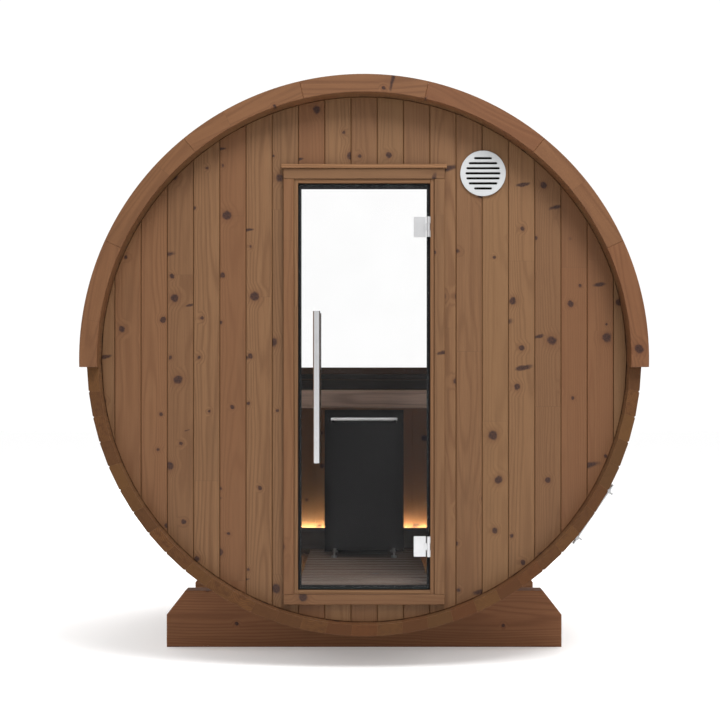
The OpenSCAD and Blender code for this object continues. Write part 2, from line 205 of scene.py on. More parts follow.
class Finish:
    """One procedural material under construction."""

    def __init__(self, name):
        old = bpy.data.materials.get(name)
        if old:
            bpy.data.materials.remove(old)
        self.material = bpy.data.materials.new(name)
        self.material.use_nodes = True
        self.tree = self.material.node_tree
        self.shader = self.tree.nodes["Principled BSDF"]

    def add(self, kind, settings=None, inputs=None):
        """A node of any kind: settings first, then socket values and links."""
        node = self.tree.nodes.new(kind)
        for key, item in (settings or {}).items():
            setattr(node, key, item)
        for key, item in (inputs or {}).items():
            feed(self.tree, node.inputs[key], item)
        return node

    def value(self, socket):
        return Value(self.tree, socket)

    def mix(self, factor, a, b, blend="MIX"):
        """A colour between a and b."""
        node = self.add("ShaderNodeMix", {"data_type": "RGBA", "blend_type": blend})
        node.clamp_factor = True
        feed(self.tree, node.inputs[0], factor)
        for index, item in ((6, a), (7, b)):
            if isinstance(item, (tuple, list)):
                item = (*item[:3], 1)
            feed(self.tree, node.inputs[index], item)
        return node.outputs[2]

    def noise(self, vector, scale, detail=2.0, roughness=0.5, distortion=0.0):
        node = self.add(
            "ShaderNodeTexNoise", None,
            {"Vector": vector, "Scale": scale, "Detail": detail,
             "Roughness": roughness, "Distortion": distortion},
        )
        return self.value(node.outputs[0])

    def stretched(self, vector, factors):
        node = self.add("ShaderNodeVectorMath", {"operation": "MULTIPLY"}, {0: vector, 1: factors})
        return node.outputs[0]

    def bump(self, height, strength, distance):
        node = self.add(
            "ShaderNodeBump", None,
            {"Height": height, "Strength": strength, "Distance": distance},
        )
        feed(self.tree, self.shader.inputs["Normal"], node.outputs[0])

    def set(self, **sockets):
        """Feeds sockets of the surface shader, named with underscores."""
        for key, item in sockets.items():
            feed(self.tree, self.shader.inputs[key.replace("_", " ")], item)
        return self.material


def shade(base, factor):
    return tuple(min(1.0, c * factor) for c in base)


def towards(base, other, amount):
    return tuple(a + (b - a) * amount for a, b in zip(base, other))


# --------------------------------------------------------------------------
# Materials
# --------------------------------------------------------------------------

MATERIALS = {}


def wood(name, base, knots=0.5, spread=0.5, ring=0.011, rough=0.55, contrast=1.0, dirt=0.0):
    """Softwood with growth rings, fibres, pores, knots and a tint for each board.

    The named attribute "grain" holds (across, depth, along) in metres and
    "board" a number from 0 to 1 for each board.
    """
    if name in MATERIALS:
        return MATERIALS[name]
    f = Finish(name)
    grain = f.add("ShaderNodeAttribute", {"attribute_name": "grain"}).outputs["Vector"]
    board = f.value(f.add("ShaderNodeAttribute", {"attribute_name": "board"}).outputs["Fac"])
    split = f.add("ShaderNodeSeparateXYZ", None, {0: grain})
    across, depth, along = (f.value(s) for s in split.outputs)

    # Knots: round spots in the plane of the face, only in some of the cells.
    flat = f.add("ShaderNodeCombineXYZ", None, {0: across, 1: along, 2: 0.0}).outputs[0]
    cells = f.add(
        "ShaderNodeTexVoronoi", {"voronoi_dimensions": "2D", "feature": "F1"},
        {"Vector": flat, "Scale": 6.4, "Randomness": 0.9},
    )
    lot = f.add("ShaderNodeSeparateColor", None, {0: cells.outputs["Color"]})
    chance, size = f.value(lot.outputs[0]), f.value(lot.outputs[1])
    wobble = f.noise(flat, 24.0, 3.0, 0.6) * 0.14 - 0.07
    reach = f.value(cells.outputs["Distance"]) + wobble
    present = chance.span(1 - knots, 1 - knots + 0.02)
    inside = reach / (size * size * 0.085 + 0.04)
    # Spike knots: long, slanting cuts through a branch.
    slant = f.add("ShaderNodeCombineXYZ", None, {
        0: across * 0.42 + along * 0.3, 1: along * 1.5 - across * 0.35, 2: 0.0}).outputs[0]
    spikes = f.add(
        "ShaderNodeTexVoronoi", {"voronoi_dimensions": "2D", "feature": "F1"},
        {"Vector": slant, "Scale": 4.6, "Randomness": 1.0},
    )
    draw = f.add("ShaderNodeSeparateColor", None, {0: spikes.outputs["Color"]})
    rare = f.value(draw.outputs[0]).span(1 - knots * 0.45, 1 - knots * 0.45 + 0.02)
    spike = (f.value(spikes.outputs["Distance"]) + wobble * 0.8) / (f.value(draw.outputs[1]) * 0.06 + 0.03)
    soft = (1 - inside.span(0.62, 1.12)) * present
    core = soft.math("MAXIMUM", soft, (1 - spike.span(0.5, 1.25)) * rare)
    halo = (1 - inside.span(0.9, 2.4)) * present
    swirl = (1 - inside.span(0.6, 3.4)) * present

    # Long boards are glued up from shorter lengths, each a little different.
    lengths = along / 1.37
    piece = lengths.math("FLOOR", lengths)
    luck = f.add("ShaderNodeTexWhiteNoise", {"noise_dimensions": "1D"}, {"W": piece + board * 9.0})
    length_tone = f.value(luck.outputs["Value"])
    seam = 1 - (lengths - piece).span(0.0004, 0.0012)

    # Growth rings run along the board and bend round each knot.
    slow = f.noise(f.stretched(grain, (7.0, 7.0, 0.9)), 1.0, 2.0, 0.5)
    bend = f.noise(f.stretched(grain, (22.0, 22.0, 2.6)), 1.0, 2.0, 0.5)
    radial = (across * across + (depth + 0.05) * (depth + 0.05)).math("SQRT", across * across + (depth + 0.05) * (depth + 0.05))
    rings = (radial + slow * 0.05 + bend * 0.008 + swirl * 0.009 + length_tone * 0.7) * (2 * math.pi / ring)
    late = (rings.sin() * 0.5 + 0.5).power(2.2)
    fine = f.noise(f.stretched(grain, (420.0, 420.0, 9.0)), 1.0, 3.0, 0.6)
    streak = f.noise(f.stretched(grain, (60.0, 60.0, 1.6)), 1.0, 3.0, 0.55)
    patch = f.noise(f.stretched(grain, (9.0, 9.0, 2.2)), 1.0, 3.0, 0.6)

    light = shade(base, 1 + 0.2 * contrast)
    deep = tuple(c * (1 - k * contrast) for c, k in zip(base, (0.27, 0.36, 0.42)))
    red = towards(base, (base[0] * 1.02, base[1] * 0.72, base[2] * 0.6), 1.0)
    yellow = towards(base, (base[0] * 1.12, base[1] * 1.16, base[2] * 1.1), 1.0)
    surface = f.mix(late * 0.75, light, deep)
    surface = f.mix((streak.span(0.42, 0.72)) * 0.45 * contrast, surface, deep)
    surface = f.mix((fine.span(0.45, 0.75)) * 0.42, surface, shade(deep, 0.85))
    toned = f.mix(board.span(0.5, 1.0) * spread, surface, red, "MIX")
    toned = f.mix((1 - board.span(0.0, 0.5)) * spread, toned, yellow, "MIX")
    grade = board.math("PINGPONG", board * 7.31, 1.0)
    toned = f.mix(grade * spread * 0.55, toned, shade(base, 0.55), "MIX")
    toned = f.mix(length_tone * spread * 0.3, toned, shade(base, 0.72))
    toned = f.mix(seam * 0.5, toned, shade(base, 0.45))
    toned = f.mix(patch.span(0.5, 0.85) * 0.35, toned, shade(base, 0.62))
    if dirt:
        toned = f.mix(patch.span(0.35, 0.7) * dirt, toned, shade(base, 0.4))
    knot = (base[0] * 0.15, base[1] * 0.14, base[2] * 0.27)
    heart = (base[0] * 0.5, base[1] * 0.4, base[2] * 0.5)
    toned = f.mix(halo * 0.3, toned, (base[0] * 0.6, base[1] * 0.45, base[2] * 0.4))
    mottle = f.noise(flat, 160.0, 2.0, 0.6).span(0.4, 0.65)
    toned = f.mix(core * 0.95, toned, f.mix(mottle * 0.55, knot, heart))
    f.bump(
        0.5 - late * 0.25 - fine * 0.6 - core * 0.5,
        0.35, 0.0007,
    )
    roughness = rough + fine * 0.16 - core * 0.1 - 0.06
    MATERIALS[name] = f.set(Base_Color=toned, Roughness=roughness)
    f.shader.inputs["Specular IOR Level"].default_value = 0.22
    return MATERIALS[name]


def steel(name, base, rough=0.24, brushed=(3.0, 3.0, 260.0), wear=0.0):
    """Stainless steel with fine brushing and faint handling marks."""
    if name in MATERIALS:
        return MATERIALS[name]
    f = Finish(name)
    place = f.add("ShaderNodeTexCoord").outputs["Object"]
    brush = f.noise(f.stretched(place, brushed), 1.0, 2.0, 0.6)
    smear = f.noise(place, 14.0, 3.0, 0.6)
    tone = f.mix(smear.span(0.35, 0.75) * 0.4 + wear * 0.2, base, shade(base, 0.82))
    f.bump(brush, 0.1, 0.0003)
    f.set(Base_Color=tone, Roughness=brush * 0.14 + smear * 0.1 + (rough - 0.1))
    f.shader.inputs["Metallic"].default_value = 1.0
    MATERIALS[name] = f.material
    return f.material


def coated(name, base, rough, grain_scale, grain_depth, mottle=0.35, gloss=0.5):
    """Moulded plastic, rubber or powder-coated metal with a fine grain."""
    if name in MATERIALS:
        return MATERIALS[name]
    f = Finish(name)
    place = f.add("ShaderNodeTexCoord").outputs["Object"]
    fine = f.noise(place, grain_scale, 3.0, 0.6)
    broad = f.noise(place, 9.0, 3.0, 0.6)
    tone = f.mix(broad.span(0.35, 0.75) * mottle, base, shade(base, 0.8))
    f.bump(fine, 0.25, grain_depth)
    f.set(Base_Color=tone, Roughness=fine * 0.15 + broad * 0.12 + (rough - 0.12))
    f.shader.inputs["Specular IOR Level"].default_value = gloss
    MATERIALS[name] = f.material
    return f.material


def glass(name, tint, alpha):
    """Clear toughened glass: thin, with a little haze that isn't quite even."""
    if name in MATERIALS:
        return MATERIALS[name]
    f = Finish(name)
    place = f.add("ShaderNodeTexCoord").outputs["Object"]
    haze = f.noise(place, 3.5, 4.0, 0.6)
    normal = f.add("ShaderNodeTexCoord").outputs["Normal"]
    facing = f.value(f.add("ShaderNodeSeparateXYZ", None, {0: normal}).outputs[1])
    edge = 1 - facing.math("ABSOLUTE", facing).span(0.4, 0.7)
    tone = f.mix(edge, tint, (0.09, 0.14, 0.125))
    f.bump(f.noise(place, 2.0, 1.0, 0.5), 0.02, 0.002)
    f.set(
        Base_Color=tone,
        Alpha=haze.span(0.3, 0.8) * (alpha * 0.5) + alpha * 0.75 + edge * 0.7,
        Roughness=haze * 0.05 + 0.01,
    )
    f.shader.inputs["Specular IOR Level"].default_value = 0.6
    MATERIALS[name] = f.material
    return f.material


def glowing(name, base, strength):
    """Light strip: small diodes behind a milky cover."""
    if name in MATERIALS:
        return MATERIALS[name]
    f = Finish(name)
    place = f.add("ShaderNodeTexCoord").outputs["Object"]
    split = f.add("ShaderNodeSeparateXYZ", None, {0: place})
    dots = (f.value(split.outputs[0]) * (2 * math.pi / 0.0167)).sin() * 0.5 + 0.5
    facing = f.value(f.add("ShaderNodeSeparateXYZ", None, {
        0: f.add("ShaderNodeNewGeometry").outputs["Normal"]}).outputs[2])
    glow = f.mix(dots * 0.5, base, shade(base, 0.8))
    lit = f.mix(facing.span(0.2, 0.6), (0.0, 0.0, 0.0), glow)
    f.set(Base_Color=glow, Emission_Color=lit, Roughness=dots * 0.1 + 0.35)
    f.shader.inputs["Emission Strength"].default_value = strength
    MATERIALS[name] = f.material
    return f.material


def stone(name):
    """Dark heater stones."""
    if name in MATERIALS:
        return MATERIALS[name]
    f = Finish(name)
    place = f.add("ShaderNodeTexCoord").outputs["Object"]
    broad = f.noise(place, 30.0, 4.0, 0.65)
    fine = f.noise(place, 240.0, 3.0, 0.6)
    tone = f.mix(broad.span(0.35, 0.7), (0.075, 0.075, 0.08), (0.02, 0.021, 0.023))
    f.bump(fine + broad, 0.6, 0.002)
    f.set(Base_Color=tone, Roughness=fine * 0.2 + 0.72)
    MATERIALS[name] = f.material
    return f.material


# --------------------------------------------------------------------------
# Board building
# --------------------------------------------------------------------------


def inset(outline, distance):
    """The outline (counter-clockwise) with each edge moved inwards."""
    count = len(outline)
    moved = []
    for i in range(count):
        a, b, c = outline[i - 1], outline[i], outline[(i + 1) % count]
        d1 = (b - a).normalized()
        d2 = (c - b).normalized()
        n1 = Vector((-d1.y, d1.x))
        n2 = Vector((-d2.y, d2.x))
        half = n1 + n2
        if half.length < 1e-6:
            moved.append(b + n1 * distance)
            continue
        half.normalize()
        reach = distance / max(0.35, half.dot(n1))
        moved.append(b + half * reach)
    return moved


def eased(outline, size):
    """The outline with each sharp convex corner cut off."""
    count = len(outline)
    out = []
    for i in range(count):
        a, b, c = outline[i - 1], outline[i], outline[(i + 1) % count]
        d1, d2 = b - a, c - b
        turn = d1.x * d2.y - d1.y * d2.x
        sharp = d1.length > 0 and d2.length > 0 and d1.angle(d2) > 0.5
        if size and turn > 0 and sharp:
            cut = min(size, d1.length * 0.4, d2.length * 0.4)
            out.append(b - d1.normalized() * cut)
            out.append(b + d2.normalized() * cut)
        else:
            out.append(b)
    return out


def rectangle(u0, v0, u1, v1):
    return [Vector((u0, v0)), Vector((u1, v0)), Vector((u1, v1)), Vector((u0, v1))]


def points(*pairs):
    return [Vector(p) for p in pairs]


class Boards:
    """Gathers closed bevelled solids into one mesh, each with its own grain."""

    def __init__(self, name, seed):
        self.name = name
        self.random = random.Random(seed)
        self.verts, self.faces, self.grain, self.tone, self.cut = [], [], [], [], []

    def add(self, outline, low, high, axes, along, across, bevel=0.002, tone=None, ends=(True, True)):
        """Extrudes an outline in axes[0], axes[1] from low to high on axes[2]."""
        u, v, w = axes
        first = len(self.verts)
        size = len(outline)
        small = inset(outline, bevel)
        rings = []
        rings.append((small, low) if ends[0] else (outline, low))
        if ends[0]:
            rings.append((outline, low + bevel))
        if ends[1]:
            rings.append((outline, high - bevel))
        rings.append((small, high) if ends[1] else (outline, high))
        centre = sum(outline, Vector((0, 0))) / size
        origin = u * centre.x + v * centre.y + w * low
        depth = along.cross(across)
        shift = Vector(
            (self.random.uniform(-0.04, 0.04), self.random.uniform(-0.03, 0.09), self.random.uniform(0, 40))
        )
        tint = self.random.random() if tone is None else tone
        for ring, level in rings:
            for p in ring:
                place = u * p.x + v * p.y + w * level
                self.verts.append(place)
                local = place - origin
                self.grain.append(
                    Vector((local.dot(across), local.dot(depth), local.dot(along))) + shift
                )
                self.tone.append(tint)
        flip = u.cross(v).dot(w) < 0
        caps = [
            [first + i for i in reversed(range(size))],
            [first + (len(rings) - 1) * size + i for i in range(size)],
        ]
        sides = []
        for r in range(len(rings) - 1):
            for i in range(size):
                j = (i + 1) % size
                a = first + r * size
                sides.append([a + i, a + j, a + size + j, a + size + i])
        for face in caps + sides:
            self.faces.append(face[::-1] if flip else face)
        self.cut += [1, 1] + [0] * len(sides)

    def block(self, low, high, along, bevel=0.002, tone=None):
        """A bar with all its edges eased; along is X, Y or Z."""
        low, high = Vector(low), Vector(high)
        axes = {0: (Y, Z, X), 1: (Z, X, Y), 2: (X, Y, Z)}
        k = max(range(3), key=lambda i: abs(along[i]))
        u, v, w = axes[k]
        outline = rectangle(low.dot(u), low.dot(v), high.dot(u), high.dot(v))
        wide = u if (high - low).dot(u) > (high - low).dot(v) else v
        self.add(eased(outline, bevel), low.dot(w), high.dot(w), (u, v, w), w, wide, bevel * 0.8, tone)

    def make(self, material, nodes, body, slot, cut_material=None):
        """Makes the object; cut_material goes on the sawn ends."""
        mesh = bpy.data.meshes.new(self.name)
        mesh.from_pydata([tuple(p) for p in self.verts], [], self.faces)
        grain = mesh.attributes.new("grain", "FLOAT_VECTOR", "POINT")
        grain.data.foreach_set("vector", [c for g in self.grain for c in g])
        tone = mesh.attributes.new("board", "FLOAT", "POINT")
        tone.data.foreach_set("value", self.tone)
        mesh.materials.append(material)
        if cut_material:
            mesh.materials.append(cut_material)
            mesh.polygons.foreach_set("material_index", self.cut)
        return place(self.name, mesh, nodes, body, slot)


def place(name, mesh, nodes, body, slot):
    """Puts a mesh in the scene on its body, standing for the CAD nodes given."""
    piece = bpy.data.objects.new(name, mesh)
    bpy.context.scene.collection.objects.link(piece)
    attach(piece, body)
    if nodes:
        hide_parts(*nodes)
    return piece


def dress(node, material, smooth=None):
    """Gives a CAD node its finish; its shape stays as it is."""
    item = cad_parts[node]
    item.data.materials.clear()
    item.data.materials.append(material)
    return item


def rim(x, radius, sign=1):
    """Height of the circle round the barrel's axis at x."""
    return AXIS_Z + sign * math.sqrt(max(0.0, radius * radius - x * x))


def arc(radius, start, end, steps):
    """Points on a circle round the axis; angle 0 is straight down, positive to the right."""
    out = []
    for i in range(steps + 1):
        t = start + (end - start) * i / steps
        out.append(Vector((radius * math.sin(t), AXIS_Z - radius * math.cos(t))))
    return out


# --------------------------------------------------------------------------
# Pieces
# --------------------------------------------------------------------------


class Maker:
    """Common ground of the operators: make() does the work of each."""

    bl_options = {"REGISTER", "UNDO"}

    def execute(self, context):
        self.make(context.scene.cabin_sizes, context.scene.cabin_colours)
        return {"FINISHED"}


class CABIN_OT_staves(Maker, bpy.types.Operator):
    """Makes the staves of the barrel, each with its own tint"""

    bl_idname = "cabin.staves"
    bl_label = "Staves"

    def make(self, sizes, colours):
        finish = wood("stave_wood", colours.stave, knots=0.4, spread=0.6, ring=0.008, rough=0.5, contrast=0.8)
        sawn = wood("stave_end_grain", colours.stave_end, knots=0.0, spread=1.0, ring=0.006, rough=0.7, contrast=1.6)
        y0, y1 = (c.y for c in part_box("staves_bottom"))
        groups = {"staves_bottom": range(-3, 4)}
        for part, ks in ((1, range(4, 11)), (2, range(11, 19)), (3, range(19, 26)), (4, range(26, 34))):
            groups[f"staves_right_{part}"] = ks
            groups[f"staves_left_{part}"] = [-k for k in ks]
        flat = math.cos(PITCH / 2)
        inner = STAVE_R * flat - 0.042
        half_out = STAVE_R * math.sin(PITCH / 2) - 0.00003
        half_in = inner * math.tan(PITCH / 2) - 0.00003
        lean = 0.004
        for seed, (group, ks) in enumerate(groups.items()):
            boards = Boards(group + "_boards", 100 + seed)
            for k in ks:
                t = k * PITCH
                out = Vector((math.sin(t), 0, -math.cos(t)))
                side = Vector((math.cos(t), 0, math.sin(t)))
                top = STAVE_R * flat
                b = sizes.stave_bevel
                section = points(
                    (-half_in + lean, inner), (half_in + lean, inner),
                    (half_out, top - b), (half_out - b, top),
                    (-half_out + b, top), (-half_out, top - b),
                )
                centre = Vector((0, 0, AXIS_Z))
                self.stave(boards, section, centre, side, out, y0, y1)
            boards.make(finish, [group], "cabin", "staves", sawn)

    def stave(self, boards, section, centre, side, out, y0, y1):
        """Extrudes one stave's section along the barrel."""
        start = len(boards.verts)
        boards.add(section, y0, y1, (side, out, Y), Y, side, 0.0005)
        for i in range(start, len(boards.verts)):
            boards.verts[i] = boards.verts[i] + centre


class CABIN_OT_roof(Maker, bpy.types.Operator):
    """Makes the cover boards over the upper half of the barrel"""

    bl_idname = "cabin.roof"
    bl_label = "Roof boards"

    def make(self, sizes, colours):
        finish = wood("roof_wood", colours.roof, knots=0.4, spread=0.6, ring=0.009, rough=0.55, dirt=0.25)
        for seed, (group, sign) in enumerate((("roof_boards_right", 1), ("roof_boards_left", -1))):
            y0, y1 = (c.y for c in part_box(group))
            boards = Boards(group + "_set", 200 + seed)
            for k in range(17, 34):
                t = k * PITCH * sign
                out = Vector((math.sin(t), 0, -math.cos(t)))
                side = Vector((math.cos(t), 0, math.sin(t)))
                flat = math.cos(PITCH / 2)
                top = ROOF_R * flat
                low = STAVE_R * flat + 0.0003
                wide = ROOF_R * math.sin(PITCH / 2) - 0.0008
                narrow = low * math.tan(PITCH / 2) - 0.0008
                b = 0.003
                section = points(
                    (-narrow, low), (narrow, low), (wide, top - b),
                    (wide - b, top), (-wide + b, top), (-wide, top - b),
                )
                start = len(boards.verts)
                boards.add(section, y0, y1, (side, out, Y), Y, side, 0.0012)
                for i in range(start, len(boards.verts)):
                    boards.verts[i] = boards.verts[i] + Z * AXIS_Z
            boards.make(finish, [group], "cabin", "roof")


class CABIN_OT_arches(Maker, bpy.types.Operator):
    """Makes the curved end frames, each of seven bevelled segments"""

    bl_idname = "cabin.arches"
    bl_label = "Arches"

    def make(self, sizes, colours):
        finish = wood("arch_wood", colours.arch, knots=0.5, spread=0.3, ring=0.008, rough=0.5, contrast=0.8)
        joints = [math.radians(a) for a in (13.1, 39.3, 65.5)]
        drop = ARCH_LO.z - AXIS_Z
        for seed, (node, lo, hi) in enumerate(
            (("front_arch", ARCH_LO, ARCH_HI), ("rear_arch", REAR_ARCH_LO, REAR_ARCH_HI))
        ):
            boards = Boards(node + "_segments", 300 + seed)
            edges = [-a for a in reversed(joints)] + joints
            ends = [None] + edges + [None]
            gap = 0.0001
            for a0, a1 in zip(ends, ends[1:]):
                outer_start = -math.acos(drop / ROOF_R) if a0 is None else a0 + gap / ROOF_R
                inner_start = -math.acos(drop / ARCH_INNER_R) if a0 is None else a0 + gap / ARCH_INNER_R
                outer_end = math.acos(drop / ROOF_R) if a1 is None else a1 - gap / ROOF_R
                inner_end = math.acos(drop / ARCH_INNER_R) if a1 is None else a1 - gap / ARCH_INNER_R
                steps = 18
                ring = []
                for i in range(steps + 1):
                    t = inner_start + (inner_end - inner_start) * i / steps
                    ring.append(Vector((ARCH_INNER_R * math.sin(t), AXIS_Z + ARCH_INNER_R * math.cos(t))))
                for i in range(steps + 1):
                    t = outer_end + (outer_start - outer_end) * i / steps
                    ring.append(Vector((ROOF_R * math.sin(t), AXIS_Z + ROOF_R * math.cos(t))))
                mid = (outer_start + outer_end) / 2
                along = Vector((math.cos(mid), 0, -math.sin(mid)))
                across = Vector((math.sin(mid), 0, math.cos(mid)))
                boards.add(ring, lo.y, hi.y, (X, Z, Y), along, across, sizes.arch_bevel)
            boards.make(finish, [node], "cabin", "arch")


def wall_boards(boards, lo_y, hi_y, width, gap, bevel, opening, vent, top_limit=None):
    """Vertical boards that fill the barrel's circle, cut round the opening and vent."""
    count = int(WALL_R / width + 0.5)
    radius = WALL_R - 0.0004
    for n in range(-count, count + 1):
        x0 = max(-radius, (n - 0.5) * width + gap / 2)
        x1 = min(radius, (n + 0.5) * width - gap / 2)
        if x1 - x0 < 0.004:
            continue
        steps = 8
        xs = [x0 + (x1 - x0) * i / steps for i in range(steps + 1)]
        bottom = [Vector((x, rim(x, radius, -1))) for x in xs]
        if top_limit is None:
            top = [Vector((x, rim(x, radius))) for x in reversed(xs)]
        else:
            top = points((x1, top_limit), (x0, top_limit))
        right, left = [], []
        shapes = []
        if opening:
            ox, oz0, oz1 = opening
            if x0 >= ox or x1 <= -ox:
                pass
            elif x0 >= -ox and x1 <= ox:
                shapes = [
                    (bottom + points((x1, oz0), (x0, oz0))),
                    (points((x0, oz1), (x1, oz1)) + top),
                ]
            elif x0 < ox < x1:
                left = points((x0, oz1), (ox, oz1), (ox, oz0), (x0, oz0))
            else:
                right = points((x1, oz0), (-ox, oz0), (-ox, oz1), (x1, oz1))
        if vent and not shapes:
            vx, vz, vr = vent
            for edge, notch in ((x1, right), (x0, left)):
                if abs(edge - vx) < vr and x0 < vx + vr and x1 > vx - vr:
                    grow = math.acos((edge - vx) / vr)
                    turn = range(13)
                    if edge == x1 and vx - vr > x0 - vr:
                        start = 2 * math.pi - grow
                        notch.extend(
                            Vector((vx + vr * math.cos(start - (start - grow) * i / 12),
                                    vz + vr * math.sin(start - (start - grow) * i / 12)))
                            for i in turn
                        )
                    elif edge == x0:
                        notch.extend(
                            Vector((vx + vr * math.cos(grow - 2 * grow * i / 12),
                                    vz + vr * math.sin(grow - 2 * grow * i / 12)))
                            for i in turn
                        )
        if not shapes:
            shapes = [bottom + right + top + left]
        tone = boards.random.random()
        for shape in shapes:
            outline = [p for i, p in enumerate(shape) if (p - shape[i - 1]).length > 1e-5]
            middle = (x0 + x1) / 2
            first = len(boards.grain)
            boards.add(outline, lo_y, hi_y, (X, Z, Y), Z, X, bevel, tone)
            centre = sum(outline, Vector((0, 0))) / len(outline)
            for i in range(first, len(boards.grain)):
                boards.grain[i].x += centre.x - middle


class CABIN_OT_walls(Maker, bpy.types.Operator):
    """Makes the vertical boards of the front and rear walls"""

    bl_idname = "cabin.walls"
    bl_label = "End walls"

    def make(self, sizes, colours):
        finish = wood("wall_wood", colours.wall, knots=0.84, spread=0.5, ring=0.0065, rough=0.5, contrast=0.85)
        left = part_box("front_wall_left")
        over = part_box("front_wall_over_door")
        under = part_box("front_wall_under_door")
        vent_lo, vent_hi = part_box("vent_grille")
        vent = ((vent_lo.x + vent_hi.x) / 2, (vent_lo.z + vent_hi.z) / 2, 0.072)
        opening = (over[1].x, under[1].z, over[0].z)
        width, gap, bevel = sizes.wall_board, sizes.board_gap, sizes.wall_bevel
        groove, tight = 0.012, 0.00004
        front = Boards("front_wall_boards", 401)
        y0, y1 = left[0].y, left[1].y
        wall_boards(front, y0, y0 + groove, width, gap, bevel, opening, vent)
        wall_boards(front, y0 + groove, y1, width, tight, 0.001, opening, vent)
        front.make(
            finish,
            ["front_wall_left", "front_wall_right", "front_wall_over_door", "front_wall_under_door"],
            "cabin", "wall",
        )
        rear = Boards("rear_wall_boards", 402)
        y0, y1 = REAR_LO.y, REAR_HI.y
        wall_boards(rear, y1 - groove, y1, width, gap, bevel, None, None, REAR_HI.z)
        wall_boards(rear, y0, y1 - groove, width, tight, 0.001, None, None, REAR_HI.z)
        rear.make(finish, ["rear_wall"], "cabin", "wall")


class CABIN_OT_doorway(Maker, bpy.types.Operator):
    """Makes the door frame, the casing boards and the drip cap"""

    bl_idname = "cabin.doorway"
    bl_label = "Door frame and casing"

    def make(self, sizes, colours):
        bevel = sizes.trim_bevel
        trim = wood("casing_wood", colours.casing, knots=0.4, spread=0.4, ring=0.007, rough=0.5, contrast=0.8)
        # Painted light: the drip cap's wood is the casing colour made lighter, standing in for the light falling on
        # the cap from above.
        cap = wood("drip_cap_painted_light_wood", shade(tuple(colours.casing), 1.3), knots=0.2, spread=0.2, ring=0.007, rough=0.5)
        timber = wood("jamb_wood", colours.jamb, knots=0.1, spread=0.2, ring=0.008, rough=0.5)
        sides_lo, sides_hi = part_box("casing_sides")
        inner = DOOR_OPEN_HI.x + 0.015
        casing = Boards("casing_side_boards", 501)
        for sign in (-1, 1):
            x0, x1 = sorted((sign * inner, sign * sides_hi.x))
            casing.block((x0, sides_lo.y, sides_lo.z + 0.0003), (x1, sides_hi.y, sides_hi.z - 0.0003), Z, bevel)
        casing.make(trim, ["casing_sides"], "cabin", "casing")
        for seed, node in enumerate(("casing_head", "casing_foot", "drip_cap")):
            lo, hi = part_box(node)
            bar = Boards(node + "_board", 510 + seed)
            bar.block(lo, hi, X, bevel)
            bar.make(cap if node == "drip_cap" else trim, [node], "cabin", "casing")
        jamb_lo, jamb_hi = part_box("door_jambs")
        open_x, nose = DOOR_OPEN_HI.x, 0.015
        front_y = WALL_LO.y
        jambs = Boards("door_jamb_pair", 520)
        for sign in (-1, 1):
            section = points(
                (open_x, jamb_lo.y), (open_x + nose, jamb_lo.y), (open_x + nose, front_y),
                (jamb_hi.x, front_y), (jamb_hi.x, jamb_hi.y), (open_x, jamb_hi.y),
            )
            if sign < 0:
                section = [Vector((-p.x, p.y)) for p in reversed(section)]
            jambs.add(eased(section, 0.0015), jamb_lo.z, jamb_hi.z, (X, Y, Z), Z, Y, 0.001)
        jambs.make(timber, ["door_jambs"], "cabin", "frame")
        lo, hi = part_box("door_head")
        head = Boards("door_head_bar", 521)
        section = points(
            (lo.y, lo.z), (hi.y, lo.z), (hi.y, hi.z), (front_y, hi.z),
            (front_y, lo.z + nose), (lo.y, lo.z + nose),
        )
        head.add(eased(section, 0.0015), lo.x, hi.x, (Y, Z, X), X, Y, 0.0005)
        head.make(timber, ["door_head"], "cabin", "frame")
        lo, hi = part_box("door_threshold")
        sill = Boards("door_threshold_bar", 522)
        section = points(
            (front_y, lo.z), (hi.y, lo.z), (hi.y, hi.z), (lo.y, hi.z),
            (lo.y, hi.z - nose), (front_y, hi.z - nose),
        )
        sill.add(eased(section, 0.0015), lo.x, hi.x, (Y, Z, X), X, Y, 0.0005)
        sill.make(timber, ["door_threshold"], "cabin", "frame")


class CABIN_OT_beams(Maker, bpy.types.Operator):
    """Makes the two support beams, hollowed to carry the barrel"""

    bl_idname = "cabin.beams"
    bl_label = "Support beams"

    def make(self, sizes, colours):
        finish = wood("beam_wood", colours.beam, knots=0.22, spread=0.2, ring=0.0085, rough=0.6, contrast=1.0)
        for seed, node in enumerate(("beam_front", "beam_rear")):
            lo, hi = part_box(node)
            shoulder, chamfer = 0.131, 0.075
            reach = STAVE_R + 0.0003
            seat_x = math.sqrt(reach ** 2 - (AXIS_Z - hi.z) ** 2)
            cradle = []
            for i in range(33):
                x = seat_x - 2 * seat_x * i / 32
                cradle.append(Vector((x, rim(x, reach, -1))))
            outline = points((lo.x, lo.z), (hi.x, lo.z), (hi.x, shoulder), (hi.x - chamfer, hi.z))
            outline += cradle
            outline += points((lo.x + chamfer, hi.z), (lo.x, shoulder))
            beam = Boards(node + "_timber", 600 + seed)
            beam.add(outline, lo.y, hi.y, (X, Z, Y), X, Z, 0.003)
            beam.make(finish, [node], "cabin", "beam")


